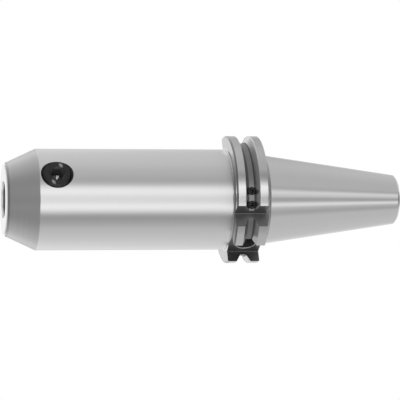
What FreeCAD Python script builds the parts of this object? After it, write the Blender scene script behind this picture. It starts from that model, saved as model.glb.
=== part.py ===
import FreeCAD
import Part
import math
import os

from FreeCAD import Vector

# A side lock holder for an end mill, standing on its nose face.
# The origin is the centre of the nose face, and +Z is the spindle axis, from the nose up to the taper.
# +X is the middle of the keyway with the chip pocket, and -Y is the side of the clamping screw.
# All lengths are in millimetres and all angles in degrees.

# Lengths along the axis
GAUGE_HEIGHT = 130.0
TAPER_LENGTH = 68.4
FLANGE_REAR_TO_GAUGE = 3.2
FLANGE_THICKNESS = 15.9
GROOVE_CENTRE_TO_GAUGE = 11.1
SCREW_HEIGHT = 24.0

# Nose and body
BODY_DIAMETER = 50.0
NOSE_FACE_DIAMETER = 35.5
NOSE_CONE_HALF_ANGLE = 25.0
NOSE_EDGE_CHAMFER = 0.4

# Tool bore and the coolant channel behind it
BORE_DIAMETER = 18.0
BORE_DEPTH = 60.0
BORE_MOUTH_CHAMFER = 0.6
CHANNEL_DIAMETER = 10.0
DRILL_POINT_HALF_ANGLE = 59.0

# Flange with its gripper groove
FLANGE_DIAMETER = 63.55
FLANGE_FRONT_EDGE_CHAMFER = 1.0
FLANGE_REAR_EDGE_CHAMFER = 0.4
FLANGE_FOOT_CHAMFER = 1.2
GROOVE_DEPTH = 3.65
GROOVE_MOUTH_WIDTH = 7.07
GROOVE_HALF_ANGLE = 30.0
GROOVE_EDGE_CHAMFER = 0.4

# Two keyways for the drive keys of the spindle. The floor with the pocket just clears the body.
KEYWAY_WIDTH = 16.1
KEYWAY_CORNER_RADIUS = 0.8
CHIP_KEYWAY_FLOOR = 25.02
PLAIN_KEYWAY_FLOOR = 22.6

# Round pocket for a data chip in the floor of one keyway
CHIP_POCKET_DIAMETER = 10.0
CHIP_POCKET_DEPTH = 4.6
CHIP_POCKET_CHAMFER = 0.3

# Square-cornered notch that shows the turning position of the flange
NOTCH_DIRECTION = -45.0
NOTCH_FACE_DISTANCE = 18.5
NOTCH_ROOT_RADIUS = 0.5
HALF_SQUARE_CORNER = 45.0

# Taper of 7 in 24 on diameter, with a turned relief between it and the flange
TAPER_RATIO = 7.0 / 24.0
GAUGE_DIAMETER = 44.45
RELIEF_DEPTH = 0.7
TAIL_EDGE_CHAMFER = 1.2

# Hole in the small end for the pull stud
STUD_PILOT_DIAMETER = 17.0
STUD_PILOT_DEPTH = 8.2
STUD_MOUTH_CHAMFER = 1.0
STUD_THREAD_DIAMETER = 16.0
STUD_THREAD_PITCH = 2.0
STUD_THREAD_END_DEPTH = 32.0
STUD_CORE_DEPTH = 43.0
THREAD_RUNOUT_GROOVE = 1.0

# Clamping screw and its hole
CLAMP_DIRECTION = -90.0
CLAMP_THREAD_DIAMETER = 14.0
CLAMP_LENGTH = 16.0
CLAMP_TIP_CLEARANCE = 0.2
CLAMP_HEAD_CHAMFER = 0.8
CLAMP_TIP_CHAMFER = 1.6
CLAMP_HEX_ACROSS_FLATS = 6.0
CLAMP_HEX_DEPTH = 7.0
CLAMP_MOUTH_LENGTH = 16.0
CLAMP_MOUTH_HALF_ANGLE = 30.0

# Coolant shut-off screws in the groove floor, and the channels from the collar that they close
SHUTOFF_THREAD_DIAMETER = 4.0
SHUTOFF_LENGTH = 8.0
SHUTOFF_RECESS = 0.4
SHUTOFF_END_CHAMFER = 0.4
SHUTOFF_HEX_ACROSS_FLATS = 2.0
SHUTOFF_HEX_DEPTH = 2.5
SHUTOFF_BOTTOM_CLEARANCE = 0.2
SHUTOFF_DIRECTION = -68.5
SHUTOFF_SPACING = 13.8
COLLAR_INLET_DIAMETER = 4.0
COLLAR_INLET_CIRCLE = 54.0
COLLAR_CHANNEL_ANGLE = 32.0

# Fits
THREAD_CLEARANCE = 0.03
HEX_MOUTH_CHAMFER = 0.35
CUT_MARGIN = 2.0

# Places that follow from the sizes above
BODY_RADIUS = BODY_DIAMETER / 2
NOSE_CONE_LENGTH = (BODY_DIAMETER - NOSE_FACE_DIAMETER) / 2 / math.tan(math.radians(NOSE_CONE_HALF_ANGLE))
FLANGE_RADIUS = FLANGE_DIAMETER / 2
FLANGE_REAR = GAUGE_HEIGHT - FLANGE_REAR_TO_GAUGE
FLANGE_FRONT = FLANGE_REAR - FLANGE_THICKNESS
GROOVE_HEIGHT = GAUGE_HEIGHT - GROOVE_CENTRE_TO_GAUGE
GROOVE_FLOOR_RADIUS = FLANGE_RADIUS - GROOVE_DEPTH
GAUGE_RADIUS = GAUGE_DIAMETER / 2
TAIL_HEIGHT = GAUGE_HEIGHT + TAPER_LENGTH
TAIL_RADIUS = GAUGE_RADIUS - TAPER_LENGTH * TAPER_RATIO / 2
SHUTOFF_HOLE_DEPTH = SHUTOFF_RECESS + SHUTOFF_LENGTH + SHUTOFF_BOTTOM_CLEARANCE


def drill_point(radius):
    """Height of the cone that a drill leaves at the end of a hole of this radius."""
    return radius / math.tan(math.radians(DRILL_POINT_HALF_ANGLE))


def turned(outline):
    """Solid of revolution about the spindle axis, from (radius, height) corners."""
    corners = [Vector(radius, 0, height) for radius, height in outline]
    wire = Part.makePolygon(corners + corners[:1])
    return Part.Face(wire).revolve(Vector(0, 0, 0), Vector(0, 0, 1), 360)


def along_radius(shape, direction, height):
    """Turns a shape made along +Z so that it points out of the axis in this direction, at this height."""
    placed = shape.copy()
    placed.rotate(Vector(0, 0, 0), Vector(0, 1, 0), 90)
    placed.rotate(Vector(0, 0, 0), Vector(0, 0, 1), direction)
    placed.translate(Vector(0, 0, height))
    return placed


def holder_blank():
    """Turned outside: nose cone, body, grooved flange, relief and taper, with its edges broken."""
    nose_radius = NOSE_FACE_DIAMETER / 2
    half_mouth = GROOVE_MOUTH_WIDTH / 2
    flank_slope = math.tan(math.radians(GROOVE_HALF_ANGLE))
    half_floor = half_mouth - GROOVE_DEPTH * flank_slope
    edge_radius = FLANGE_RADIUS - GROOVE_EDGE_CHAMFER
    edge_inside = half_mouth - GROOVE_EDGE_CHAMFER * flank_slope
    edge_outside = half_mouth + GROOVE_EDGE_CHAMFER
    relief_radius = GAUGE_RADIUS - RELIEF_DEPTH
    return turned([
        (0, 0),
        (nose_radius - NOSE_EDGE_CHAMFER, 0),
        (nose_radius + NOSE_EDGE_CHAMFER * math.tan(math.radians(NOSE_CONE_HALF_ANGLE)), NOSE_EDGE_CHAMFER),
        (BODY_RADIUS, NOSE_CONE_LENGTH),
        (BODY_RADIUS, FLANGE_FRONT - FLANGE_FOOT_CHAMFER),
        (BODY_RADIUS + FLANGE_FOOT_CHAMFER, FLANGE_FRONT),
        (FLANGE_RADIUS - FLANGE_FRONT_EDGE_CHAMFER, FLANGE_FRONT),
        (FLANGE_RADIUS, FLANGE_FRONT + FLANGE_FRONT_EDGE_CHAMFER),
        (FLANGE_RADIUS, GROOVE_HEIGHT - edge_outside),
        (edge_radius, GROOVE_HEIGHT - edge_inside),
        (GROOVE_FLOOR_RADIUS, GROOVE_HEIGHT - half_floor),
        (GROOVE_FLOOR_RADIUS, GROOVE_HEIGHT + half_floor),
        (edge_radius, GROOVE_HEIGHT + edge_inside),
        (FLANGE_RADIUS, GROOVE_HEIGHT + edge_outside),
        (FLANGE_RADIUS, FLANGE_REAR - FLANGE_REAR_EDGE_CHAMFER),
        (FLANGE_RADIUS - FLANGE_REAR_EDGE_CHAMFER, FLANGE_REAR),
        (relief_radius, FLANGE_REAR),
        (relief_radius, GAUGE_HEIGHT - RELIEF_DEPTH),
        (GAUGE_RADIUS, GAUGE_HEIGHT),
        (TAIL_RADIUS + TAIL_EDGE_CHAMFER * TAPER_RATIO / 2, TAIL_HEIGHT - TAIL_EDGE_CHAMFER),
        (TAIL_RADIUS - TAIL_EDGE_CHAMFER, TAIL_HEIGHT),
        (0, TAIL_HEIGHT),
    ])


def axial_hole():
    """Hollow on the spindle axis: tool bore, coolant channel, and the stepped hole for the pull stud."""
    bore_radius = BORE_DIAMETER / 2
    channel_radius = CHANNEL_DIAMETER / 2
    pilot_radius = STUD_PILOT_DIAMETER / 2
    core_radius = (STUD_THREAD_DIAMETER - STUD_THREAD_PITCH) / 2
    thread_end = TAIL_HEIGHT - STUD_THREAD_END_DEPTH
    core_end = TAIL_HEIGHT - STUD_CORE_DEPTH
    pilot_end = TAIL_HEIGHT - STUD_PILOT_DEPTH
    groove_radius = STUD_THREAD_DIAMETER / 2
    return turned([
        (0, -CUT_MARGIN),
        (bore_radius + BORE_MOUTH_CHAMFER + CUT_MARGIN, -CUT_MARGIN),
        (bore_radius, BORE_MOUTH_CHAMFER),
        (bore_radius, BORE_DEPTH),
        (channel_radius, BORE_DEPTH + drill_point(bore_radius) - drill_point(channel_radius)),
        (channel_radius, core_end - drill_point(core_radius) + drill_point(channel_radius)),
        (core_radius, core_end),
        (core_radius, thread_end - THREAD_RUNOUT_GROOVE),
        (groove_radius, thread_end - THREAD_RUNOUT_GROOVE),
        (groove_radius, thread_end),
        (core_radius, thread_end),
        (core_radius, pilot_end - (pilot_radius - core_radius)),
        (pilot_radius, pilot_end),
        (pilot_radius, TAIL_HEIGHT - STUD_MOUTH_CHAMFER),
        (pilot_radius + STUD_MOUTH_CHAMFER + CUT_MARGIN, TAIL_HEIGHT + CUT_MARGIN),
        (0, TAIL_HEIGHT + CUT_MARGIN),
    ])


def keyway_cut(direction, floor_distance):
    """Path of the end mill that cuts one keyway, with its round run-out in front of the flange."""
    half_width = KEYWAY_WIDTH / 2
    front = FLANGE_FRONT
    rear = FLANGE_REAR + CUT_MARGIN
    left_rear = Vector(floor_distance, -half_width, rear)
    left_front = Vector(floor_distance, -half_width, front)
    tip = Vector(floor_distance, 0, front - half_width)
    right_front = Vector(floor_distance, half_width, front)
    right_rear = Vector(floor_distance, half_width, rear)
    path = Part.Wire([
        Part.makeLine(left_rear, left_front),
        Part.Arc(left_front, tip, right_front).toShape(),
        Part.makeLine(right_front, right_rear),
        Part.makeLine(right_rear, left_rear),
    ])
    depth = FLANGE_RADIUS + CUT_MARGIN - floor_distance
    cut = Part.Face(path).extrude(Vector(depth, 0, 0))
    floor_edges = [
        edge for edge in cut.Edges
        if edge.BoundBox.XMax < floor_distance + 0.001 and edge.BoundBox.ZMin < rear - 0.001
    ]
    cut = cut.makeFillet(KEYWAY_CORNER_RADIUS, floor_edges)
    cut.rotate(Vector(0, 0, 0), Vector(0, 0, 1), direction)
    return cut


def chip_pocket_cut():
    """Blind round pocket with a broken edge, in the floor of the chip keyway, level with the groove."""
    radius = CHIP_POCKET_DIAMETER / 2
    bottom = CHIP_KEYWAY_FLOOR - CHIP_POCKET_DEPTH
    pocket = turned([
        (0, bottom),
        (radius, bottom),
        (radius, CHIP_KEYWAY_FLOOR - CHIP_POCKET_CHAMFER),
        (radius + CHIP_POCKET_CHAMFER + CUT_MARGIN, CHIP_KEYWAY_FLOOR + CUT_MARGIN),
        (0, CHIP_KEYWAY_FLOOR + CUT_MARGIN),
    ])
    return along_radius(pocket, 0, GROOVE_HEIGHT)


def notch_cut():
    """Prism of the orientation notch: two faces at a right angle, square to the keyways, and a round root."""
    length = FLANGE_THICKNESS + FLANGE_FOOT_CHAMFER + CUT_MARGIN
    size = FLANGE_RADIUS
    root = NOTCH_FACE_DISTANCE * math.sqrt(2)
    prism = Part.makeBox(size, size, length, Vector(0, 0, FLANGE_FRONT - FLANGE_FOOT_CHAMFER))
    root_edge = [
        edge for edge in prism.Edges
        if edge.BoundBox.XMax < 0.001 and edge.BoundBox.YMax < 0.001
    ]
    prism = prism.makeFillet(NOTCH_ROOT_RADIUS, root_edge)
    prism.rotate(Vector(0, 0, 0), Vector(0, 0, 1), -HALF_SQUARE_CORNER)
    prism.translate(Vector(root, 0, 0))
    prism.rotate(Vector(0, 0, 0), Vector(0, 0, 1), NOTCH_DIRECTION)
    return prism


def clamp_hole_cut():
    """Cross hole for the clamping screw, from the tool bore out through the wall, with a coned mouth.

    On the round body the mouth is longer along the axis than it is wide.
    """
    radius = CLAMP_THREAD_DIAMETER / 2 + THREAD_CLEARANCE
    mouth_radius = CLAMP_MOUTH_LENGTH / 2
    mouth_slope = math.tan(math.radians(CLAMP_MOUTH_HALF_ANGLE))
    outside = BODY_RADIUS + CUT_MARGIN
    hole = turned([
        (0, 0),
        (radius, 0),
        (radius, BODY_RADIUS - (mouth_radius - radius) / mouth_slope),
        (mouth_radius + CUT_MARGIN * mouth_slope, outside),
        (0, outside),
    ])
    return along_radius(hole, CLAMP_DIRECTION, SCREW_HEIGHT)


def shutoff_directions():
    """Directions of the coolant shut-off screws: a pair beside the notch, and a pair opposite."""
    directions = []
    for side in (0, 180):
        directions.append(SHUTOFF_DIRECTION + side)
        directions.append(SHUTOFF_DIRECTION + SHUTOFF_SPACING + side)
    return directions


def shutoff_hole_cut(direction):
    """Blind radial hole in the groove floor for one shut-off screw."""
    radius = SHUTOFF_THREAD_DIAMETER / 2 + THREAD_CLEARANCE
    bottom = GROOVE_FLOOR_RADIUS - SHUTOFF_HOLE_DEPTH
    hole = turned([
        (0, bottom - drill_point(radius)),
        (radius, bottom),
        (radius, GROOVE_FLOOR_RADIUS + CUT_MARGIN),
        (0, GROOVE_FLOOR_RADIUS + CUT_MARGIN),
    ])
    return along_radius(hole, direction, GROOVE_HEIGHT)


def collar_channel_cut(direction):
    """Slanted coolant channel from the rear face of the flange down to the channel on the axis."""
    slant = math.radians(COLLAR_CHANNEL_ANGLE)
    inlet_radius = COLLAR_INLET_CIRCLE / 2
    heading = Vector(-math.sin(slant), 0, -math.cos(slant))
    inlet = Vector(inlet_radius, 0, FLANGE_REAR)
    start = inlet - heading * CUT_MARGIN
    length = CUT_MARGIN + inlet_radius / math.sin(slant)
    channel = Part.makeCylinder(COLLAR_INLET_DIAMETER / 2, length, start, heading)
    channel.rotate(Vector(0, 0, 0), Vector(0, 0, 1), direction)
    return channel


def make_holder_body():
    """One piece of hardened and ground steel."""
    cuts = [
        axial_hole(),
        keyway_cut(0, CHIP_KEYWAY_FLOOR),
        keyway_cut(180, PLAIN_KEYWAY_FLOOR),
        chip_pocket_cut(),
        notch_cut(),
        clamp_hole_cut(),
        collar_channel_cut(SHUTOFF_DIRECTION),
        collar_channel_cut(SHUTOFF_DIRECTION + 180),
    ]
    for direction in shutoff_directions():
        cuts.append(shutoff_hole_cut(direction))
    body = holder_blank()
    for cut in cuts:
        body = body.cut(cut)
    return body


def hex_socket(across_flats, depth, mouth):
    """Socket for a hexagon key, open upwards at z = 0, with a lead-in cone."""
    corner_radius = across_flats / math.sqrt(3)
    corners = []
    for step in range(6):
        angle = math.radians(60 * step)
        corners.append(Vector(corner_radius * math.cos(angle), corner_radius * math.sin(angle), -depth))
    hexagon = Part.Face(Part.makePolygon(corners + corners[:1]))
    prism = hexagon.extrude(Vector(0, 0, depth + CUT_MARGIN))
    lead_in = turned([
        (0, -mouth),
        (corner_radius, -mouth),
        (corner_radius + mouth + CUT_MARGIN, CUT_MARGIN),
        (0, CUT_MARGIN),
    ])
    return prism.fuse(lead_in)


def socket_screw(diameter, length, head_chamfer, tip_chamfer, across_flats, hex_depth, mouth):
    """Headless screw with a flat tip, along +Z with its socket end at z = 0 and its shank below."""
    radius = diameter / 2
    shank = turned([
        (0, 0),
        (radius - head_chamfer, 0),
        (radius, -head_chamfer),
        (radius, -length + tip_chamfer),
        (radius - tip_chamfer, -length),
        (0, -length),
    ])
    return shank.cut(hex_socket(across_flats, hex_depth, mouth))


def make_clamping_screw():
    """Screw that presses on the flat of the tool shank, turned back until its tip is out of the bore."""
    screw = socket_screw(
        CLAMP_THREAD_DIAMETER, CLAMP_LENGTH, CLAMP_HEAD_CHAMFER, CLAMP_TIP_CHAMFER,
        CLAMP_HEX_ACROSS_FLATS, CLAMP_HEX_DEPTH, HEX_MOUTH_CHAMFER,
    )
    core_radius = CLAMP_HEX_ACROSS_FLATS / 2
    screw = screw.cut(turned([
        (0, -CLAMP_HEX_DEPTH - drill_point(core_radius)),
        (core_radius, -CLAMP_HEX_DEPTH),
        (0, -CLAMP_HEX_DEPTH + HEX_MOUTH_CHAMFER),
    ]))
    outer_end = BORE_DIAMETER / 2 + CLAMP_TIP_CLEARANCE + CLAMP_LENGTH
    screw.translate(Vector(0, 0, outer_end))
    return along_radius(screw, CLAMP_DIRECTION, SCREW_HEIGHT)


def make_shutoff_screw(direction):
    """Small headless screw just below the groove floor, which closes a coolant hole."""
    screw = socket_screw(
        SHUTOFF_THREAD_DIAMETER, SHUTOFF_LENGTH, SHUTOFF_END_CHAMFER, SHUTOFF_END_CHAMFER,
        SHUTOFF_HEX_ACROSS_FLATS, SHUTOFF_HEX_DEPTH, HEX_MOUTH_CHAMFER,
    )
    screw.translate(Vector(0, 0, GROOVE_FLOOR_RADIUS - SHUTOFF_RECESS))
    return along_radius(screw, direction, GROOVE_HEIGHT)


def main():
    pieces = {
        "holder_body": make_holder_body(),
        "clamping_screw": make_clamping_screw(),
    }
    for number, direction in enumerate(shutoff_directions(), start=1):
        pieces[f"coolant_screw_{number}"] = make_shutoff_screw(direction)
    os.makedirs("parts", exist_ok=True)
    for name, shape in pieces.items():
        shape.exportStep(f"parts/{name}.step")
        print(name, "valid", shape.isValid(), "solids", len(shape.Solids), "volume", round(shape.Volume, 1))


main()
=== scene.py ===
import math

import bmesh
import bpy
from mathutils import Matrix, Vector


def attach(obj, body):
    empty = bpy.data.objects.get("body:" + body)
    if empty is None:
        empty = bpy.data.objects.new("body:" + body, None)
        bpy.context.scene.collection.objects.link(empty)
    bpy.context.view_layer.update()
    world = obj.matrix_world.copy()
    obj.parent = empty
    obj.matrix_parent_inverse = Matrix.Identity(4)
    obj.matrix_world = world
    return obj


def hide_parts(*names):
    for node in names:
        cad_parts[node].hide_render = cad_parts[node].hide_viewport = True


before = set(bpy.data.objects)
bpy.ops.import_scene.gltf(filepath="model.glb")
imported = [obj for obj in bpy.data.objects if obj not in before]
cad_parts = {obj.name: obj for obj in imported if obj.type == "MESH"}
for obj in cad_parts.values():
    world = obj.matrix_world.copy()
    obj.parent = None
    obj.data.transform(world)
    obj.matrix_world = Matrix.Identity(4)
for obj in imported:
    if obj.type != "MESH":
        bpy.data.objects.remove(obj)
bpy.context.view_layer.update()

# The camera lies on its side, so that the standing holder runs level across the picture, nose to the left.
# It is a long lens more than a metre away, a tenth of a metre below the nose face and looking slightly up
# at it, 30 degrees to the side of the clamping screw.
SPINDLE_AXIS = Vector((0, 0, 1))
CAMERA_TURN = math.radians(30)
CAMERA_DIRECTION = Vector((math.sin(CAMERA_TURN), -math.cos(CAMERA_TURN), 0))
CAMERA_DISTANCE = 1.124
CAMERA_HEIGHT = -0.112
CAMERA_LOWERED = 0.00022
AIM_HEIGHT = 0.0983
LENS = 206.2
SENSOR = 36.0

photographer = bpy.data.objects.new("camera", bpy.data.cameras.new("camera"))
bpy.context.scene.collection.objects.link(photographer)
photographer.data.lens = LENS
photographer.data.sensor_width = SENSOR
photographer.location = CAMERA_DIRECTION * CAMERA_DISTANCE + SPINDLE_AXIS * CAMERA_HEIGHT
backward = (photographer.location - SPINDLE_AXIS * AIM_HEIGHT).normalized()
rightward = (SPINDLE_AXIS - backward * backward.z).normalized()
upward = backward.cross(rightward)
turn = Matrix((rightward, upward, backward)).transposed()
photographer.rotation_euler = turn.to_euler()
photographer.location -= upward * CAMERA_LOWERED
bpy.context.scene.camera = photographer
bpy.context.scene.view_settings.view_transform = "Standard"

# The light is a white tent round the holder, with two tall soft panels beside the camera and grey gaps
# between the panels. Polished steel shows nothing but this tent, so its rings of panels are set one by one.
# A dome behind everything gives the white background.
MIX_FIRST, MIX_SECOND, MIX_RESULT = 6, 7, 2


def put(tree, kind, given=(), **settings):
    """Adds a node. Each given input is a value, or another node's output to link to."""
    made = tree.nodes.new(kind)
    for name, value in settings.items():
        setattr(made, name, value)
    for key, value in dict(given).items():
        if isinstance(value, bpy.types.NodeSocket):
            tree.links.new(value, made.inputs[key])
        else:
            made.inputs[key].default_value = value
    return made


def calc(tree, operation, *values):
    """Output of one math node."""
    return put(tree, "ShaderNodeMath", enumerate(values), operation=operation).outputs[0]


def dot(tree, first, second):
    """Output of one dot product."""
    return put(tree, "ShaderNodeVectorMath", {0: first, 1: second}, operation="DOT_PRODUCT").outputs["Value"]


def blended(tree, share, first, second):
    """Colour that goes from the first to the second as the share goes from 0 to 1."""
    mixed = put(tree, "ShaderNodeMix", {"Factor": share, MIX_FIRST: first, MIX_SECOND: second},
                data_type="RGBA")
    return mixed.outputs[MIX_RESULT]


def ring_of_panels(tree, turn_share, panels):
    """Brightness round one ring of the tent, from (degrees from the camera, brightness) pairs."""
    round_tent = put(tree, "ShaderNodeValToRGB", {"Fac": turn_share})
    ramp = round_tent.color_ramp
    ramp.interpolation = "EASE"
    while len(ramp.elements) < len(panels):
        ramp.elements.new(0.5)
    for element, (degrees, brightness) in zip(ramp.elements, panels):
        share = brightness / BRIGHTEST
        element.position = degrees / 360 + 0.5
        element.color = (share, share, share, 1)
    return round_tent.outputs["Color"]


def both_sides(*panels):
    """The same panels to the left and right of the camera, from pairs that start at 0 degrees."""
    return [(-degrees, brightness) for degrees, brightness in reversed(panels[1:])] + list(panels)


BRIGHTEST = 2.5
BOTTOM = both_sides((0, 0.90), (180, 0.90))
CONE_RING = both_sides((0, 0.22), (60, 0.26), (90, 0.60), (120, 1.00), (150, 0.80), (180, 0.60))
RIM_RING = both_sides(
    (0, 0.35), (9, 0.60), (18, 2.20), (28, 1.00), (45, 0.70), (65, 0.68), (80, 0.85), (100, 1.05),
    (122, 1.10), (145, 0.70), (180, 0.45),
)
FRONT_RING = [
    (-180, 1.00), (-155, 1.50), (-135, 2.00), (-118, 1.20), (-105, 0.80), (-79, 0.55), (-60, 0.42),
    (-40, 0.32), (-29, 0.10), (-19, 2.30), (-10, 1.90), (-1, 0.03), (7, 0.25), (17, 2.50), (26, 1.20),
    (36, 0.15), (50, 0.25), (76, 0.50), (95, 0.75), (118, 1.25), (135, 2.00), (155, 1.50), (180, 1.00),
]
NOSE_RING = both_sides(
    (0, 0.60), (8, 0.60), (17, 1.30), (26, 1.10), (40, 0.40), (75, 0.65), (150, 1.15), (180, 1.28),
)
BODY_RING = [
    (-180, 0.50), (-150, 1.00), (-122, 1.02), (-92, 0.94), (-68, 0.84), (-56, 0.56), (-42, 0.36),
    (-36, 0.45), (-27, 1.52), (-19, 1.68), (-10, 1.78), (-1, 2.55), (8, 2.15), (17, 1.48), (26, 1.66),
    (36, 1.10), (42, 0.80), (65, 0.80), (88, 0.92), (120, 0.92), (150, 0.90), (180, 0.50),
]
FLANGE_RING = [
    (-180, 0.90), (-120, 0.80), (-70, 0.68), (-52, 0.52), (-40, 0.42), (-30, 0.62), (-20, 1.40),
    (-12, 1.30), (-3, 0.22), (3, 0.22), (9, 0.82), (15, 1.42), (22, 1.62), (29, 0.95), (36, 0.42),
    (44, 0.32), (58, 0.62), (100, 0.69), (120, 0.60), (146, 0.55), (180, 0.80),
]
TAPER_RING = [
    (-180, 0.90), (-120, 0.78), (-54, 0.72), (-36, 0.55), (-26, 0.66), (-14, 1.12), (-3, 0.54), (2, 0.54),
    (11, 0.84), (20, 1.00), (32, 0.60), (44, 0.66), (60, 0.66), (120, 0.74), (180, 0.90),
]
TOP = both_sides((0, 0.12), (180, 0.12))

# Degrees above the level between which each ring takes over from the one below it
RINGS = (
    (-76, -66, CONE_RING),
    (-38, -33, RIM_RING),
    (-20, -17, FRONT_RING),
    (-9, -7.5, NOSE_RING),
    (-2.5, 0, BODY_RING),
    (10.3, 11.5, FLANGE_RING),
    (14, 24, TAPER_RING),
    (56, 70, TOP),
)

tent = bpy.data.worlds.new("light_tent")
bpy.context.scene.world = tent
tent.use_nodes = True
tree = tent.node_tree
tree.nodes.clear()
direction = put(tree, "ShaderNodeTexCoord").outputs["Generated"]
toward = dot(tree, direction, CAMERA_DIRECTION)
aside = dot(tree, direction, CAMERA_DIRECTION.cross(SPINDLE_AXIS))
height = put(tree, "ShaderNodeSeparateXYZ", {0: direction}).outputs["Z"]
turn_share = calc(tree, "MULTIPLY_ADD", calc(tree, "ARCTAN2", aside, toward), 0.5 / math.pi, 0.5)
elevation = calc(tree, "MULTIPLY", calc(tree, "ARCSINE", height), 180 / math.pi)
brightness = ring_of_panels(tree, turn_share, BOTTOM)
for start, end, panels in RINGS:
    share = put(tree, "ShaderNodeMapRange", {"Value": elevation, "From Min": start, "From Max": end},
                interpolation_type="SMOOTHSTEP").outputs["Result"]
    brightness = blended(tree, share, brightness, ring_of_panels(tree, turn_share, panels))
glow = put(tree, "ShaderNodeBackground", {"Color": brightness, "Strength": BRIGHTEST}).outputs[0]
white = put(tree, "ShaderNodeBackground", {"Color": (1, 1, 1, 1), "Strength": 1.0}).outputs[0]
seen = put(tree, "ShaderNodeLightPath").outputs["Is Camera Ray"]
shown = put(tree, "ShaderNodeMixShader", {0: seen, 1: glow, 2: white}).outputs[0]
put(tree, "ShaderNodeOutputWorld", {"Surface": shown})

# The floor is a plain pale round table top. It is seen from above only, because the camera looks up
# from just under it, and the polished steel doesn't mirror it.
FLOOR_COLOUR = (0.9, 0.9, 0.9, 1)
FLOOR_DROP = 0.0004
FLOOR_RADIUS = 3.0
FLOOR_SIDES = 96

paint = bpy.data.materials.new("pale_floor")
paint.use_nodes = True
tree = paint.node_tree
tree.nodes.clear()
matt = put(tree, "ShaderNodeBsdfDiffuse", {"Color": FLOOR_COLOUR}).outputs[0]
clear = put(tree, "ShaderNodeBsdfTransparent").outputs[0]
underside = put(tree, "ShaderNodeNewGeometry").outputs["Backfacing"]
either = put(tree, "ShaderNodeMixShader", {0: underside, 1: matt, 2: clear}).outputs[0]
put(tree, "ShaderNodeOutputMaterial", {"Surface": either})
table_top = bmesh.new()
bmesh.ops.create_circle(table_top, cap_ends=True, radius=FLOOR_RADIUS, segments=FLOOR_SIDES)
table_top.transform(Matrix.Translation((0, 0, -FLOOR_DROP)))
floor_mesh = bpy.data.meshes.new("floor")
table_top.to_mesh(floor_mesh)
table_top.free()
floor_mesh.materials.append(paint)
floor = bpy.data.objects.new("floor", floor_mesh)
bpy.context.scene.collection.objects.link(floor)
floor.visible_glossy = False
floor.visible_shadow = False

# The holder body is one piece of case-hardened steel: turned, milled in the flange, then ground on the
# body and the taper. Its nose cone stays as it was turned and is matt, the milled keyways and the notch
# stay black from hardening, and the screw holes are near black.
BODY_SEGMENTS = 240
BODY_SHARP_ANGLE = math.radians(24)

# All sizes from here on are in millimetres, heights are from the nose face. A corner's rounding has a
# row of points close beside it on each side, which holds the flat next to it flat.
MM = 0.001
SHARP = 0.0
HOLD = 0.05
HOLD_SHARE = 0.2
ROUNDING_STEP = 11

# Nose and body
NOSE_EDGE = ((17.45, 0.0), (17.95, 0.42), (18.43, 1.45))
NOSE_CONE_END = 15.548
BODY_RADIUS = 25.0
BODY_ROUNDING = 0.8

# Flange with its gripper groove. The rear corner of the groove's floor has a strip painted black, painted
# shade in that corner.
FLANGE_FRONT = 110.9
FLANGE_REAR = 126.8
FLANGE_RADIUS = 31.775
FLANGE_REAR_CHAMFER = 0.4
GROOVE_MIDDLE = 118.9
GROOVE_HALF_MOUTH = 3.535
GROOVE_HALF_FLOOR = 1.428
GROOVE_FLOOR_RADIUS = 28.125
GROOVE_FRONT_LIP = 0.25
GROOVE_REAR_LIP = 0.4
GROOVE_FRONT_CORNER = 0.3
GROOVE_REAR_CORNER = 0.15
SHADE_STRIP_ON_FLOOR = 0.3
SHADE_STRIP_UP_FLANK = 0.45
SHADE_STRIP_ALONG_FLANK = 0.26

# Relieved neck, taper and small end
RELIEF_RADIUS = 21.525
RELIEF_FOOT = 0.4
RELIEF_UNDERCUT = 0.7
RELIEF_ROUNDING = 0.3
GAUGE_HEIGHT = 130.0
GAUGE_RADIUS = 22.225
END_HEIGHT = 198.4
END_CHAMFER = 1.2
END_CHAMFER_RADIUS = 12.425
END_FACE_RADIUS = 11.05
EDGE_ROUNDING = 0.15
FINE_ROUNDING = 0.1

# Hole for the pull stud
PILOT_RADIUS = 8.5
PILOT_MOUTH_CHAMFER = 1.0
PILOT_FLOOR = 190.2
STUD_THREAD_RADIUS = 8.0
STUD_THREAD_MOUTH = 189.7
STUD_THREAD_START = 189.6
STUD_THREAD_END = 166.5
STUD_THREAD_DEPTH = 1.0
STUD_THREAD_PITCH = 2.0
STUD_THREAD_ROWS = 8
RUNOUT_START = 166.4
RUNOUT_END = 165.4
CORE_RADIUS = 7.0
CORE_END = 155.4

# Tool bore and the coolant channel behind it
BORE_RADIUS = 9.0
BORE_DEPTH = 60.0
BORE_MOUTH_CHAMFER = 0.8
CHANNEL_RADIUS = 5.0
CHANNEL_START = 62.4
CHANNEL_END = 154.2


def rounded(corners):
    """Outline points from (radius, height, rounding) corners, with a holding point beside each rounding."""
    points = []
    for number, (radius, height, rounding) in enumerate(corners):
        here = Vector((radius, height))
        if rounding == SHARP or number in (0, len(corners) - 1):
            points.append(here)
            continue
        before = Vector(corners[number - 1][:2]) - here
        after = Vector(corners[number + 1][:2]) - here
        inner = before.angle(after)
        reach = rounding / math.tan(inner / 2)
        hold = min(HOLD, HOLD_SHARE * (min(before.length, after.length) - reach))
        middle = (before.normalized() + after.normalized()).normalized()
        centre = here + middle * (rounding / math.sin(inner / 2))
        start = here + before.normalized() * reach - centre
        end = here + after.normalized() * reach - centre
        steps = max(2, math.ceil(math.degrees(math.pi - inner) / ROUNDING_STEP))
        sweep = start.angle_signed(end)
        points.append(here + before.normalized() * (reach + hold))
        for step in range(steps + 1):
            angle = -sweep * step / steps
            arm = Vector((
                start.x * math.cos(angle) - start.y * math.sin(angle),
                start.x * math.sin(angle) + start.y * math.cos(angle),
            ))
            points.append(centre + arm)
        points.append(here + after.normalized() * (reach + hold))
    return [(point.x, point.y, 0, 0) for point in points]


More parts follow.
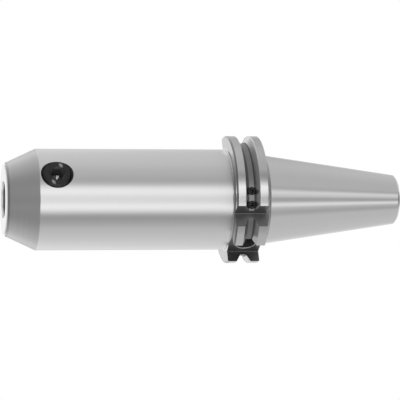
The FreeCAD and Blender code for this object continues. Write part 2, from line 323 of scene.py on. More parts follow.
def thread_rows(radius, start, end, pitch, rows_per_turn):
    """Rows of outline points along a threaded wall."""
    rows = max(2, round(abs(end - start) / pitch * rows_per_turn))
    return [(radius, start + (end - start) * row / rows, 1, 0) for row in range(rows + 1)]


def started_tree(name, *inputs):
    """A new node tree with named inputs, from (name, kind) pairs, and what comes in through them."""
    tree = bpy.data.node_groups.new(name, "GeometryNodeTree")
    for label, kind in inputs:
        tree.interface.new_socket(label, in_out="INPUT", socket_type="NodeSocket" + kind)
    tree.interface.new_socket("Piece", in_out="OUTPUT", socket_type="NodeSocketGeometry")
    return tree, put(tree, "NodeGroupInput").outputs


def close_tree(tree, shapes, finish):
    """Ends a tree: what it made is realized, gets its finish and goes out."""
    whole = put(tree, "GeometryNodeRealizeInstances", {0: shapes}).outputs[0]
    finished = put(tree, "GeometryNodeSetMaterial", {"Geometry": whole, "Material": finish}).outputs[0]
    put(tree, "NodeGroupOutput", {0: finished})


def round_axis(tree, radius, angle, height):
    """Position at a distance from the axis, in a direction and at a height."""
    return put(tree, "ShaderNodeCombineXYZ", {
        0: calc(tree, "MULTIPLY", radius, calc(tree, "COSINE", angle)),
        1: calc(tree, "MULTIPLY", radius, calc(tree, "SINE", angle)),
        2: height,
    }).outputs[0]


# Shares of a thread's half turn that are its flat crest, and where its root begins
THREAD_CREST = 0.125
THREAD_ROOT = 0.75
SIDES = 6
WELD = 0.001


def turning_tree():
    """Sweeps an outline round the axis. Marked rows get a helical thread or six flats."""
    tree, given = started_tree(
        "turning", ("Outline", "Geometry"), ("Segments", "Int"), ("Thread radius", "Float"),
        ("Thread depth", "Float"), ("Pitch", "Float"), ("Finish", "Material"),
    )
    columns = calc(tree, "ADD", given["Segments"], 1)
    outline = put(tree, "GeometryNodeAttributeDomainSize", {0: given["Outline"]}, component="MESH")
    rows = outline.outputs["Point Count"]
    grid = put(tree, "GeometryNodeMeshGrid", {"Vertices X": rows, "Vertices Y": columns}).outputs["Mesh"]
    index = put(tree, "GeometryNodeInputIndex").outputs[0]
    row = calc(tree, "FLOOR", calc(tree, "DIVIDE", calc(tree, "ADD", index, 0.5), columns))
    column = calc(tree, "SUBTRACT", index, calc(tree, "MULTIPLY", row, columns))
    share = calc(tree, "DIVIDE", column, given["Segments"])

    def from_row(value, kind):
        sampled = put(tree, "GeometryNodeSampleIndex", data_type=kind, domain="POINT")
        tree.links.new(given["Outline"], sampled.inputs["Geometry"])
        tree.links.new(value, sampled.inputs["Value"])
        tree.links.new(row, sampled.inputs["Index"])
        return sampled.outputs["Value"]

    position = from_row(put(tree, "GeometryNodeInputPosition").outputs[0], "FLOAT_VECTOR")
    place = put(tree, "ShaderNodeSeparateXYZ", {0: position})
    plain, height = place.outputs["X"], place.outputs["Y"]
    marks = {}
    for name in ("thread", "flats"):
        named = put(tree, "GeometryNodeInputNamedAttribute", {"Name": name}, data_type="FLOAT")
        marks[name] = from_row(named.outputs["Attribute"], "FLOAT")

    turns_up = calc(tree, "DIVIDE", height, given["Pitch"])
    phase = calc(tree, "FRACT", calc(tree, "SUBTRACT", turns_up, share))
    wave = calc(tree, "ABSOLUTE", calc(tree, "MULTIPLY_ADD", phase, 2, -1))
    flank = put(tree, "ShaderNodeMapRange", {
        "Value": wave, "From Min": THREAD_CREST, "From Max": THREAD_ROOT,
    }).outputs["Result"]
    depth = calc(tree, "MULTIPLY", flank, given["Thread depth"])
    groove = calc(tree, "SUBTRACT", given["Thread radius"], depth)
    sunk = calc(tree, "SUBTRACT", calc(tree, "MINIMUM", plain, groove), plain)
    threaded = calc(tree, "ADD", plain, calc(tree, "MULTIPLY", marks["thread"], sunk))

    within_flat = calc(tree, "SUBTRACT", calc(tree, "FRACT", calc(tree, "MULTIPLY", share, SIDES)), 0.5)
    off_middle = calc(tree, "COSINE", calc(tree, "MULTIPLY", within_flat, 2 * math.pi / SIDES))
    stretch = calc(tree, "SUBTRACT", calc(tree, "DIVIDE", 1, off_middle), 1)
    radius = calc(tree, "MULTIPLY", threaded, calc(tree, "MULTIPLY_ADD", marks["flats"], stretch, 1))

    angle = calc(tree, "MULTIPLY", share, 2 * math.pi)
    swept = round_axis(tree, radius, angle, height)
    shaped = put(tree, "GeometryNodeSetPosition", {"Geometry": grid, "Position": swept}).outputs[0]
    merged = put(tree, "GeometryNodeMergeByDistance", {"Geometry": shaped, "Distance": WELD * MM}).outputs[0]
    smooth = put(tree, "GeometryNodeSetShadeSmooth", {"Geometry": merged}).outputs[0]
    close_tree(tree, smooth, given["Finish"])
    return tree


def outward(mesh):
    """Turns all faces of a closed mesh outwards."""
    shell = bmesh.new()
    shell.from_mesh(mesh)
    bmesh.ops.recalc_face_normals(shell, faces=shell.faces)
    if shell.calc_volume(signed=True) < 0:
        bmesh.ops.reverse_faces(shell, faces=shell.faces)
    shell.to_mesh(mesh)
    shell.free()


def grown(name, source, tree, **sizes):
    """Runs a node tree on a mesh and keeps the result as a plain mesh, with its faces outwards."""
    piece = bpy.data.objects.new(name, source)
    bpy.context.scene.collection.objects.link(piece)
    growth = piece.modifiers.new("growth", "NODES")
    growth.node_group = tree
    for item in tree.interface.items_tree:
        key = item.name.lower().replace(" ", "_")
        if key in sizes:
            growth[item.identifier] = sizes[key]
    depsgraph = bpy.context.evaluated_depsgraph_get()
    plain = bpy.data.meshes.new_from_object(piece.evaluated_get(depsgraph))
    piece.modifiers.clear()
    plain.materials.clear()
    plain.materials.append(sizes["finish"])
    plain.polygons.foreach_set("material_index", [0] * len(plain.polygons))
    piece.data = plain
    outward(plain)
    return piece


TURNING = turning_tree()


def turned(name, rows, finish, segments, thread_radius=100.0, thread_depth=0.0, pitch=1.0):
    """A turned piece from outline rows: (radius, height, thread, flats). Plain rows need no thread sizes."""
    outline = bpy.data.meshes.new(name)
    outline.from_pydata([(radius * MM, height * MM, 0) for radius, height, _, _ in rows], [], [])
    for number, mark in ((2, "thread"), (3, "flats")):
        values = outline.attributes.new(mark, "FLOAT", "POINT")
        values.data.foreach_set("value", [float(row[number]) for row in rows])
    return grown(name, outline, TURNING, segments=segments, thread_radius=thread_radius * MM,
                 thread_depth=thread_depth * MM, pitch=pitch * MM, finish=finish)


def lofted(name, rings, finish):
    """A closed solid through rings of equally many points."""
    solid = bmesh.new()
    loops = [[solid.verts.new(Vector(point) * MM) for point in ring] for ring in rings]
    count = len(loops[0])
    for below, above in zip(loops, loops[1:]):
        for number in range(count):
            following = (number + 1) % count
            solid.faces.new((below[number], below[following], above[following], above[number]))
    solid.faces.new(reversed(loops[0]))
    solid.faces.new(loops[-1])
    mesh = bpy.data.meshes.new(name)
    solid.to_mesh(mesh)
    solid.free()
    mesh.materials.append(finish)
    mesh.shade_smooth()
    outward(mesh)
    piece = bpy.data.objects.new(name, mesh)
    bpy.context.scene.collection.objects.link(piece)
    return piece


def round_z(degrees):
    """Turns round the axis."""
    return Matrix.Rotation(math.radians(degrees), 4, "Z")


def out_from_axis(direction, height, distance=0.0):
    """Turns what was made along +Z to point out of the axis, in this direction and at this height."""
    return (Matrix.Translation((0, 0, height * MM)) @ round_z(direction)
            @ Matrix.Rotation(math.radians(90), 4, "Y") @ Matrix.Translation((0, 0, distance * MM)))


def cut_away(piece, cutter):
    """Cuts one solid out of another and removes the cutter. The cut faces keep the cutter's finish."""
    cut = piece.modifiers.new("cut", "BOOLEAN")
    cut.operation = "DIFFERENCE"
    cut.solver = "MANIFOLD"
    cut.material_mode = "TRANSFER"
    cut.object = cutter
    depsgraph = bpy.context.evaluated_depsgraph_get()
    remains = bpy.data.meshes.new_from_object(piece.evaluated_get(depsgraph))
    piece.modifiers.clear()
    piece.data = remains
    bpy.data.objects.remove(cutter)


RING_SCALE = (25, 25, 2600)
CLOUD_SCALE = (90, 90, 60)
GRAIN_SCALE = (6000, 6000, 6000)
CLOUD_TONE = 0.03
UNEVEN_GLOSS = 0.03
GRAIN_DEPTH = 0.05
BUMP_STRENGTH = 0.10
BUMP_HEIGHT = 0.01
ACROSS_THE_RINGS = 0.25


def steel(name, grey, roughness, turning=0.0, streak=0.0, anisotropic=0.0, metallic=1.0):
    """Bare steel: fine rings from the tool or the wheel, cloudy handling marks and a faint grain."""
    made = bpy.data.materials.new(name)
    made.use_nodes = True
    tree = made.node_tree
    tree.nodes.clear()
    place = put(tree, "ShaderNodeTexCoord").outputs["Object"]

    def noise(scale, detail, roughening=0.5):
        stretched = put(tree, "ShaderNodeMapping", {"Vector": place, "Scale": scale}).outputs[0]
        return put(tree, "ShaderNodeTexNoise", {
            "Vector": stretched, "Scale": 1.0, "Detail": detail, "Roughness": roughening,
        }).outputs[0]

    rings = noise(RING_SCALE, 3.0, 0.6)
    clouds = noise(CLOUD_SCALE, 4.0)
    grain = noise(GRAIN_SCALE, 2.0)
    ring_swing = calc(tree, "SUBTRACT", rings, 0.5)
    cloud_swing = calc(tree, "SUBTRACT", clouds, 0.5)
    tone = calc(tree, "ADD", calc(tree, "MULTIPLY", ring_swing, streak),
                calc(tree, "MULTIPLY", cloud_swing, CLOUD_TONE))
    tint = put(tree, "ShaderNodeVectorMath", {
        0: (grey, grey, grey), "Scale": calc(tree, "ADD", tone, 1.0),
    }, operation="SCALE").outputs[0]
    rough = calc(tree, "ADD", calc(tree, "MULTIPLY", cloud_swing, UNEVEN_GLOSS),
                 calc(tree, "MULTIPLY_ADD", ring_swing, UNEVEN_GLOSS, roughness))
    relief = calc(tree, "ADD", calc(tree, "MULTIPLY", rings, turning),
                  calc(tree, "MULTIPLY", grain, GRAIN_DEPTH))
    bump = put(tree, "ShaderNodeBump", {
        "Height": relief, "Strength": BUMP_STRENGTH, "Distance": BUMP_HEIGHT * MM,
    }).outputs[0]
    along = put(tree, "ShaderNodeTangent", direction_type="RADIAL", axis="Z").outputs[0]
    metal = put(tree, "ShaderNodeBsdfPrincipled", {
        "Base Color": tint, "Metallic": metallic, "Roughness": rough, "Normal": bump,
        "Anisotropic": anisotropic, "Anisotropic Rotation": ACROSS_THE_RINGS, "Tangent": along,
    }).outputs[0]
    put(tree, "ShaderNodeOutputMaterial", {"Surface": metal})
    return made


turned_matt = steel("turned_matt_finish", 0.42, 0.42, turning=0.8, streak=0.16)
darkened_nose_edge = steel("edge_finish", 0.28, 0.35, turning=0.3, streak=0.05)
ground_face = steel("ground_face_finish", 0.62, 0.20, turning=0.3, streak=0.02)
ground = steel("ground_finish", 0.63, 0.30, turning=0.2, streak=0.02, anisotropic=0.76)
fine_turned = steel("fine_turned_finish", 0.55, 0.15, turning=0.5, streak=0.06)
ground_taper = steel("ground_taper_finish", 0.63, 0.12, turning=0.2, streak=0.02)
front_grey = steel("front_finish", 0.42, 0.10, turning=0.5, streak=0.06)
darkened_front_rim = steel("rim_edge_finish", 0.20, 0.15, turning=0.4, streak=0.05)
flank_grey = steel("flank_finish", 0.45, 0.26, turning=0.5, streak=0.06)
darkened_bore = steel("bore_finish", 0.34, 0.34, turning=0.3, streak=0.04)
darkened_rear_rounding = steel("rear_edge_finish", 0.52, 0.35, turning=0.3, streak=0.05)
undercut_highlight = steel("undercut_finish", 0.85, 0.45, turning=0.3, streak=0.05)
groove_and_neck_shade = steel("groove_finish", 0.205, 0.35, turning=0.4, streak=0.08)
hardened_black = steel("hardened_black_finish", 0.15, 0.40, turning=0.2, streak=0.1)
black_for_holes_and_shade = steel("screw_hole_finish", 0.07, 0.45, turning=0.2, streak=0.1, metallic=0.3)
milled_grey = steel("milled_finish", 0.17, 0.40, turning=0.2, streak=0.1)
pocket_grey = steel("pocket_edge_finish", 0.42, 0.30, turning=0.2, streak=0.1)

# The outline runs from the bore's mouth over the outside to the small end, and back through the holes
body_outline = rounded([
    (BORE_RADIUS + BORE_MOUTH_CHAMFER, 0, SHARP),
    *((radius, height, SHARP) for radius, height in NOSE_EDGE),
    (BODY_RADIUS, NOSE_CONE_END, BODY_ROUNDING),
    (BODY_RADIUS, FLANGE_FRONT, BODY_ROUNDING),
    (FLANGE_RADIUS, FLANGE_FRONT, BODY_ROUNDING),
    (FLANGE_RADIUS, GROOVE_MIDDLE - GROOVE_HALF_MOUTH, GROOVE_FRONT_LIP),
    (GROOVE_FLOOR_RADIUS, GROOVE_MIDDLE - GROOVE_HALF_FLOOR, GROOVE_FRONT_CORNER),
    (GROOVE_FLOOR_RADIUS, GROOVE_MIDDLE + GROOVE_HALF_FLOOR - SHADE_STRIP_ON_FLOOR, SHARP),
    (GROOVE_FLOOR_RADIUS, GROOVE_MIDDLE + GROOVE_HALF_FLOOR, GROOVE_REAR_CORNER),
    (GROOVE_FLOOR_RADIUS + SHADE_STRIP_UP_FLANK, GROOVE_MIDDLE + GROOVE_HALF_FLOOR + SHADE_STRIP_ALONG_FLANK, SHARP),
    (FLANGE_RADIUS, GROOVE_MIDDLE + GROOVE_HALF_MOUTH, GROOVE_REAR_LIP),
    (FLANGE_RADIUS, FLANGE_REAR - FLANGE_REAR_CHAMFER, SHARP),
    (FLANGE_RADIUS - FLANGE_REAR_CHAMFER, FLANGE_REAR, SHARP),
    (RELIEF_RADIUS, FLANGE_REAR, RELIEF_FOOT),
    (RELIEF_RADIUS, GAUGE_HEIGHT - RELIEF_UNDERCUT, RELIEF_ROUNDING),
    (GAUGE_RADIUS, GAUGE_HEIGHT, EDGE_ROUNDING),
    (END_CHAMFER_RADIUS, END_HEIGHT - END_CHAMFER, EDGE_ROUNDING),
    (END_FACE_RADIUS, END_HEIGHT, EDGE_ROUNDING),
    (PILOT_RADIUS + PILOT_MOUTH_CHAMFER, END_HEIGHT, FINE_ROUNDING),
    (PILOT_RADIUS, END_HEIGHT - PILOT_MOUTH_CHAMFER, FINE_ROUNDING),
    (PILOT_RADIUS, PILOT_FLOOR, SHARP),
    (STUD_THREAD_RADIUS, STUD_THREAD_MOUTH, SHARP),
])
body_outline += thread_rows(STUD_THREAD_RADIUS, STUD_THREAD_START, STUD_THREAD_END, STUD_THREAD_PITCH,
                            STUD_THREAD_ROWS)
body_outline += rounded([
    (STUD_THREAD_RADIUS, RUNOUT_START, SHARP),
    (STUD_THREAD_RADIUS, RUNOUT_END, SHARP),
    (CORE_RADIUS, RUNOUT_END, SHARP),
    (CORE_RADIUS, CORE_END, SHARP),
    (CHANNEL_RADIUS, CHANNEL_END, SHARP),
    (CHANNEL_RADIUS, CHANNEL_START, SHARP),
    (BORE_RADIUS, BORE_DEPTH, SHARP),
    (BORE_RADIUS, BORE_MOUTH_CHAMFER, SHARP),
])
body_outline.append(body_outline[0])
body = turned("holder_steel", body_outline, ground, BODY_SEGMENTS, thread_radius=STUD_THREAD_RADIUS,
              thread_depth=STUD_THREAD_DEPTH, pitch=STUD_THREAD_PITCH)

# Two milled keyways with a round run-out in front of the flange. The deeper one has no pocket.
CUT_MARGIN = 2.0
CORNER_STEPS = 6
RUNOUT_STEPS = 24
KEYWAY_HALF_WIDTH = 8.05
KEYWAY_CORNER = 0.3
CHIP_KEYWAY_FLOOR = 25.02
PLAIN_KEYWAY_FLOOR = 22.6

for direction, floor_distance in ((0, CHIP_KEYWAY_FLOOR), (180, PLAIN_KEYWAY_FLOOR)):
    rings = []
    for step in range(CORNER_STEPS + 2):
        angle = math.radians(min(90, 90 * step / CORNER_STEPS))
        half = KEYWAY_HALF_WIDTH - KEYWAY_CORNER * (1 - math.sin(angle))
        depth = floor_distance + KEYWAY_CORNER * (1 - math.cos(angle))
        if step > CORNER_STEPS:
            depth = FLANGE_RADIUS + CUT_MARGIN
        ring = [(depth, -half, FLANGE_REAR + CUT_MARGIN)]
        for part in range(RUNOUT_STEPS + 1):
            bend = math.radians(180 * part / RUNOUT_STEPS)
            ring.append((depth, -half * math.cos(bend), FLANGE_FRONT - half * math.sin(bend)))
        ring.append((depth, half, FLANGE_REAR + CUT_MARGIN))
        rings.append(ring)
    keyway = lofted("keyway", rings, hardened_black)
    keyway.data.transform(round_z(direction))
    cut_away(body, keyway)

# Square-cornered notch through the flange
NOTCH_FACE = 18.5
NOTCH_ROOT = 0.25
NOTCH_REACH = 40.0
NOTCH_START = 109.7

root_middle = NOTCH_FACE + NOTCH_ROOT
notch_edge = [(NOTCH_FACE, -NOTCH_REACH), (NOTCH_REACH, -NOTCH_REACH), (NOTCH_REACH, -NOTCH_FACE)]
for step in range(CORNER_STEPS + 1):
    angle = math.radians(90 + 90 * step / CORNER_STEPS)
    x = root_middle + NOTCH_ROOT * math.cos(angle)
    y = -root_middle + NOTCH_ROOT * math.sin(angle)
    notch_edge.append((x, y))
notch_ends = (NOTCH_START, FLANGE_REAR + CUT_MARGIN)
notch = lofted("notch", [[(x, y, height) for x, y in notch_edge] for height in notch_ends], milled_grey)
cut_away(body, notch)

# Round pocket for a data chip, with a broken edge, in the floor of the shallower keyway
POCKET_RADIUS = 5.0
POCKET_FLOOR = 20.42
POCKET_FLOOR_CORNER = 0.2
POCKET_EDGE = 24.72
POCKET_MOUTH_RADIUS = 7.3
POCKET_SEGMENTS = 64

pocket = turned("chip_pocket", rounded([
    (0, POCKET_FLOOR, SHARP),
    (POCKET_RADIUS, POCKET_FLOOR, POCKET_FLOOR_CORNER),
    (POCKET_RADIUS, POCKET_EDGE, SHARP),
    (POCKET_MOUTH_RADIUS, CHIP_KEYWAY_FLOOR + CUT_MARGIN, SHARP),
    (0, CHIP_KEYWAY_FLOOR + CUT_MARGIN, SHARP),
]), pocket_grey, POCKET_SEGMENTS)
pocket.data.materials.append(black_for_holes_and_shade)
# Painted shade: below its broken edge the pocket's wall is painted near black
for face in pocket.data.polygons:
    face.material_index = 1 if face.center.z < POCKET_EDGE * MM else 0
pocket.data.transform(out_from_axis(0, GROOVE_MIDDLE))
cut_away(body, pocket)

# Hole of the clamping screw, from the bore out through the body, with a countersink
CLAMP_DIRECTION = -90
CLAMP_HEIGHT = 24.0
CLAMP_HOLE_START = 2.0
CLAMP_HOLE_RADIUS = 7.03
CLAMP_HOLE_SEGMENTS = 96
COUNTERSINK_START = 23.32
COUNTERSINK_RADIUS = 9.155

clamp_hole = turned("clamp_hole", rounded([
    (0, CLAMP_HOLE_START, SHARP),
    (CLAMP_HOLE_RADIUS, CLAMP_HOLE_START, SHARP),
    (CLAMP_HOLE_RADIUS, COUNTERSINK_START, SHARP),
    (COUNTERSINK_RADIUS, BODY_RADIUS + CUT_MARGIN, SHARP),
    (0, BODY_RADIUS + CUT_MARGIN, SHARP),
]), black_for_holes_and_shade, CLAMP_HOLE_SEGMENTS)
clamp_hole.data.transform(out_from_axis(CLAMP_DIRECTION, CLAMP_HEIGHT))
cut_away(body, clamp_hole)

# Two pairs of coolant holes in the groove's floor, and a slanted channel from the rear face to the middle
# of the holder through the first hole of each pair
COOLANT_FIRST = -68.5
COOLANT_SPACING = 13.8
COOLANT_HOLE_RADIUS = 2.03
COOLANT_HOLE_POINT = 18.3
COOLANT_HOLE_FLOOR = 19.525
COOLANT_HOLE_END = 30.0
COLLAR_CIRCLE = 27.0
COLLAR_SLANT = 32
COLLAR_CHANNEL_RADIUS = 2.0
COLLAR_CHANNEL_LENGTH = 51.0
SMALL_HOLE_SEGMENTS = 48

for first in (COOLANT_FIRST, COOLANT_FIRST + 180):
    for direction in (first, first + COOLANT_SPACING):
        hole = turned("coolant_hole", rounded([
            (0, COOLANT_HOLE_POINT, SHARP),
            (COOLANT_HOLE_RADIUS, COOLANT_HOLE_FLOOR, SHARP),
            (COOLANT_HOLE_RADIUS, COOLANT_HOLE_END, SHARP),
            (0, COOLANT_HOLE_END, SHARP),
        ]), black_for_holes_and_shade, SMALL_HOLE_SEGMENTS)
        hole.data.transform(out_from_axis(direction, GROOVE_MIDDLE))
        cut_away(body, hole)

for direction in (COOLANT_FIRST, COOLANT_FIRST + 180):
    channel = turned("collar_channel", rounded([
        (0, -COLLAR_CHANNEL_LENGTH, SHARP),
        (COLLAR_CHANNEL_RADIUS, -COLLAR_CHANNEL_LENGTH, SHARP),
        (COLLAR_CHANNEL_RADIUS, CUT_MARGIN, SHARP),
        (0, CUT_MARGIN, SHARP),
    ]), black_for_holes_and_shade, SMALL_HOLE_SEGMENTS)
    channel.data.transform(
        round_z(direction) @ Matrix.Translation((COLLAR_CIRCLE * MM, 0, FLANGE_REAR * MM))
        @ Matrix.Rotation(math.radians(COLLAR_SLANT), 4, "Y"))
    cut_away(body, channel)

# Places where one finish of the turned faces goes over into the next. The short ones are reaches from a
# named edge, a little more than that edge's rounding.
HOLE_REACH = 9.7
BEHIND_BORE = 61
NEARBY = 0.1
HAIR = 0.005
FLOOR_REACH = 0.15
EDGE_REACH = 0.85
REAR_EDGE_REACH = 0.6
FRONT_FACE_REACH = 0.2
FOOT_REACH = 1.5
RELIEF_REACH = 0.05
UNDERCUT_REACH = 0.75


def finish_by_place(radius, height):
    """Finish of a turned face of the body, from where its middle is; some are painted shade or a painted
    highlight.
    """
    if radius < HOLE_REACH and height > BORE_MOUTH_CHAMFER:
        # Painted shade: the bore's wall is painted dark grey, and the channel deeper in darker still
        return groove_and_neck_shade if height > BEHIND_BORE else darkened_bore
    if radius < HOLE_REACH or height < NOSE_EDGE[1][1]:
        return ground_face
    # Painted shade: the nose edge's steep chamfer is painted dark, for a dark line along that edge
    if height < NOSE_EDGE[2][1]:
        return darkened_nose_edge
    if height < NOSE_CONE_END - NEARBY:
        return turned_matt
    if abs(height - GROOVE_MIDDLE) < GROOVE_HALF_MOUTH + NEARBY and radius < FLANGE_RADIUS - NEARBY:
        shade_strip_start = GROOVE_MIDDLE + GROOVE_HALF_FLOOR - SHADE_STRIP_ON_FLOOR
        # Painted shade: a black strip along the rear corner of the groove's floor
        if radius < GROOVE_FLOOR_RADIUS + SHADE_STRIP_UP_FLANK and height > shade_strip_start:
            return black_for_holes_and_shade
        # Painted shade: the groove's floor is painted dark grey
        return groove_and_neck_shade if radius < GROOVE_FLOOR_RADIUS + FLOOR_REACH else flank_grey
    if FLANGE_RADIUS - EDGE_REACH < radius < FLANGE_RADIUS - HAIR:
        # Painted shade: the rounding of the flange's front rim is painted dark in place of its highlight
        if FLANGE_FRONT + HAIR < height < FLANGE_FRONT + EDGE_REACH:
            return darkened_front_rim
        # Painted shade: the rounding of the flange's rear edge is painted darker to dim its highlight
        if height > FLANGE_REAR - REAR_EDGE_REACH:
            return darkened_rear_rounding
    if height >= GAUGE_HEIGHT - NEARBY:
        return ground_taper
    # Painted shadow: the neck behind the flange is painted dark, as in the flange's shadow
    if height > FLANGE_REAR + RELIEF_REACH:
        # Painted highlight: the undercut chamfer in front of the taper is painted lighter than the steel
        return groove_and_neck_shade if height < GAUGE_HEIGHT - UNDERCUT_REACH else undercut_highlight
    if height <= FLANGE_FRONT - FOOT_REACH:
        return ground
    return front_grey if height < FLANGE_FRONT + FRONT_FACE_REACH else fine_turned


cut_finishes = [slot.name for slot in body.data.materials]
for finish in (turned_matt, darkened_nose_edge, ground_face, front_grey, darkened_front_rim, fine_turned, ground_taper,
               flank_grey, groove_and_neck_shade, darkened_bore, darkened_rear_rounding, undercut_highlight):
    body.data.materials.append(finish)
slots = {slot.name: number for number, slot in enumerate(body.data.materials)}
for face in body.data.polygons:
    if cut_finishes[face.material_index] == ground.name:
        x, y, z = face.center / MM
        face.material_index = slots[finish_by_place(math.hypot(x, y), z).name]
body.data.shade_smooth()
body.data.set_sharp_from_angle(angle=BODY_SHARP_ANGLE)
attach(body, "holder")
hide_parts("holder_body")

# The clamping screw is a headless hexagon socket screw, M14 with a flat tip, of hardened steel with a
# black oxide finish. Here it is turned back until its tip is out of the bore.
SCREW_SHARP_ANGLE = math.radians(30)
SCREW_OUT = 25.2
SCREW_RADIUS = 7.0
SOCKET_FLATS = 6.0
SOCKET_DEPTH = 7.0
SOCKET_CHAMFER_END = 0.45
FACE_DEPTH = 0.02

# A painted glint: one side of the drill point in the socket is painted bright, between these directions in
# degrees
BRIGHT_START = 12
BRIGHT_END = 46

# Two painted glints: bright spots painted on the screw's face, beside the socket and opposite each other
ALONG_SPOTS = (0.857, 0, 0.515)
ACROSS_SPOTS = (-0.515, 0, 0.857)
SPOT_ALONG = 2.93
SPOT_ACROSS = 4.09
SPOT_LENGTH = 1.35
SPOT_WIDTH = 0.85
SPECKLE_SCALE = 1800.0
RAGGEDNESS = 0.6
SPOT_RIM = 1.25
SPOT_FULL = 0.55


def glint_spotted_steel(name, black, bright, roughness):
    """Black face of the clamping screw with two painted glints, bright spots opposite each other beside the
    socket.
    """
    made = steel(name, black, roughness, turning=0.2, streak=0.1)
    tree = made.node_tree
    place = put(tree, "ShaderNodeTexCoord").outputs["Object"]
    arm = put(tree, "ShaderNodeVectorMath", {0: place, 1: (0, 0, CLAMP_HEIGHT * MM)},
              operation="SUBTRACT").outputs["Vector"]
    aside = dot(tree, arm, ACROSS_SPOTS)
    along = calc(tree, "MULTIPLY", dot(tree, arm, ALONG_SPOTS), calc(tree, "SIGN", aside))
    off_along = calc(tree, "DIVIDE", calc(tree, "ADD", along, SPOT_ALONG * MM), SPOT_LENGTH * MM)
    beside = calc(tree, "SUBTRACT", calc(tree, "ABSOLUTE", aside), SPOT_ACROSS * MM)
    off_aside = calc(tree, "DIVIDE", beside, SPOT_WIDTH * MM)
    distance = calc(tree, "SQRT", calc(tree, "ADD", calc(tree, "MULTIPLY", off_along, off_along),
                                       calc(tree, "MULTIPLY", off_aside, off_aside)))
    speckle = put(tree, "ShaderNodeTexNoise", {
        "Vector": place, "Scale": SPECKLE_SCALE, "Detail": 2.0,
    }).outputs[0]
    ragged = calc(tree, "ADD", distance, calc(tree, "MULTIPLY_ADD", speckle, RAGGEDNESS, -RAGGEDNESS / 2))
    spot = put(tree, "ShaderNodeMapRange", {"Value": ragged, "From Min": SPOT_RIM, "From Max": SPOT_FULL},
               interpolation_type="SMOOTHSTEP").outputs["Result"]
    colour = tree.nodes["Principled BSDF"].inputs["Base Color"]
    with_glints = blended(tree, spot, colour.links[0].from_socket, (bright, bright, bright, 1))
    tree.links.new(with_glints, colour)
    return made


blackened = steel("black_oxide_finish", 0.045, 0.34, turning=0.2, streak=0.1)
socket_wall = steel("socket_finish", 0.09, 0.45, turning=0.2, streak=0.1, metallic=0.4)
drill_point_glint = steel("drill_point_finish", 0.30, 0.16, turning=0.6, streak=0.1)
glint_spotted_face = glint_spotted_steel("rubbed_face_finish", 0.043, 0.30, 0.30)

THREAD_TO_PITCH = 0.61
DRILL_HALF_ANGLE = math.radians(59)
HEAD_STEPS = 5
FLOOR_CORNER = 0.8

# Edges of the screw's face and socket, for a radius of 7 mm. A smaller screw has smaller ones.
FULL_RADIUS = 7
FACE_ROUNDING = 0.3
FACE_ROUNDING_REACH = 0.124
MOUTH_WIDTH = 0.5
MOUTH_DEPTH = 0.4
FLATS_START = 0.5


def socket_screw(name, radius, length, head_chamfer, tip_chamfer, flats, depth, pitch, rows_per_turn,
                 segments):
    """Headless screw along +Z, its socket end at height 0. The socket ends in a drill point."""
    size = radius / FULL_RADIUS
    rim = radius - head_chamfer
    corner = flats / math.sqrt(3)
    rows = [(0, -length, 0, 0), (radius - tip_chamfer - HOLD, -length, 0, 0)]
    rows += [(radius - tip_chamfer, -length, 1, 0)]
    rows += thread_rows(radius, -length + tip_chamfer, -head_chamfer, pitch, rows_per_turn)
    for step in range(1, HEAD_STEPS):
        inward = head_chamfer * step / HEAD_STEPS
        rows.append((radius - inward, -head_chamfer * (1 - step / HEAD_STEPS), 1, 0))
    for degrees in (45, 30, 15, 0):
        bend = math.radians(degrees)
        rows.append((rim + size * (FACE_ROUNDING * math.sin(bend) - FACE_ROUNDING_REACH),
                     FACE_ROUNDING * size * (math.cos(bend) - 1), 0, 0))
    rows += [(corner + (MOUTH_WIDTH + HOLD) * size, 0, 0, 0), (corner + MOUTH_WIDTH * size, 0, 0, 0)]
    rows += [(corner, -MOUTH_DEPTH * size, 0, 0), (flats / 2, -FLATS_START * size, 0, 1)]
    rows += [(flats / 2, -depth + HOLD, 0, 1), (flats / 2, -depth, 0, FLOOR_CORNER)]
    rows += [(0, -depth - 0.5 * flats / math.tan(DRILL_HALF_ANGLE), 0, 0)]
    return turned(name, rows, blackened, segments, thread_radius=radius,
                  thread_depth=THREAD_TO_PITCH * pitch, pitch=pitch)


clamping = socket_screw("clamping_screw_steel", radius=SCREW_RADIUS, length=16.0, head_chamfer=0.8,
                        tip_chamfer=1.6, flats=SOCKET_FLATS, depth=SOCKET_DEPTH, pitch=2.0,
                        rows_per_turn=12, segments=96)
for finish in (glint_spotted_face, socket_wall, drill_point_glint):
    clamping.data.materials.append(finish)
for face in clamping.data.polygons:
    x, y, z = face.center / MM
    in_socket = math.hypot(x, y) < SOCKET_FLATS / math.sqrt(3)
    # Painted glints: the screw's flat face gets the two bright spots
    if z > -FACE_DEPTH:
        face.material_index = 1
    elif in_socket and -SOCKET_DEPTH - SOCKET_FLATS < z < -SOCKET_CHAMFER_END:
        # Painted glint on one side of the drill point
        bright = z < -SOCKET_DEPTH and BRIGHT_START < math.degrees(math.atan2(-x, -y)) < BRIGHT_END
        face.material_index = 3 if bright else 2
clamping.data.transform(out_from_axis(CLAMP_DIRECTION, CLAMP_HEIGHT, SCREW_OUT))
clamping.data.set_sharp_from_angle(angle=SCREW_SHARP_ANGLE)
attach(clamping, "clamping_screw")
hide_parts("clamping_screw")

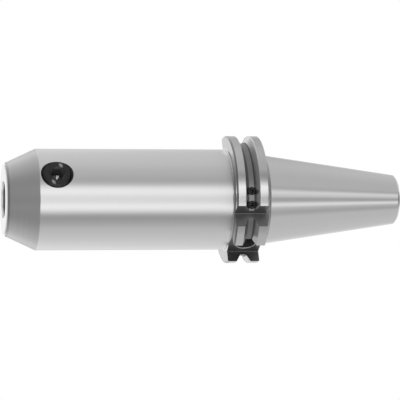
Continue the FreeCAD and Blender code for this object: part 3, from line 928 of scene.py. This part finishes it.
# Four small headless screws, M4 with hexagon sockets and black like the clamping screw, close the coolant
# channels in the floor of the gripper groove: two beside the notch and two on the far side.
COOLANT_SCREWS = 4
COOLANT_SUNK = 0.4


def round_groove_tree():
    """Places a screw at each coolant hole, in pairs half a turn apart."""
    tree, given = started_tree(
        "round_groove", ("Screw", "Geometry"), ("Count", "Int"), ("First direction", "Float"),
        ("Spacing", "Float"), ("Distance", "Float"), ("Height", "Float"), ("Finish", "Material"),
    )
    index = put(tree, "GeometryNodeInputIndex").outputs[0]
    pair = calc(tree, "FLOOR", calc(tree, "MULTIPLY_ADD", index, 0.5, 0.25))
    second = calc(tree, "MULTIPLY_ADD", pair, -2, index)
    in_pair = calc(tree, "MULTIPLY_ADD", second, given["Spacing"], given["First direction"])
    angle = calc(tree, "ADD", in_pair, calc(tree, "MULTIPLY", pair, math.pi))
    place = round_axis(tree, given["Distance"], angle, given["Height"])
    spots = put(tree, "GeometryNodePoints", {"Count": given["Count"], "Position": place}).outputs[0]
    stance = put(tree, "ShaderNodeCombineXYZ", {1: math.pi / 2, 2: angle}).outputs[0]
    placed = put(tree, "GeometryNodeInstanceOnPoints", {
        "Points": spots, "Instance": given["Screw"], "Rotation": stance,
    }).outputs[0]
    close_tree(tree, placed, given["Finish"])
    return tree


small = socket_screw("small_screw", radius=2.0, length=8.0, head_chamfer=0.4, tip_chamfer=0.4, flats=2.0,
                     depth=2.5, pitch=0.7, rows_per_turn=8, segments=48)
coolant = grown("coolant_screws_steel", small.data, round_groove_tree(), count=COOLANT_SCREWS,
                first_direction=math.radians(COOLANT_FIRST), spacing=math.radians(COOLANT_SPACING),
                distance=(GROOVE_FLOOR_RADIUS - COOLANT_SUNK) * MM, height=GROOVE_MIDDLE * MM,
                finish=blackened)
bpy.data.objects.remove(small)
coolant.data.set_sharp_from_angle(angle=SCREW_SHARP_ANGLE)
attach(coolant, "holder")
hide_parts("coolant_screw_1", "coolant_screw_2", "coolant_screw_3", "coolant_screw_4")
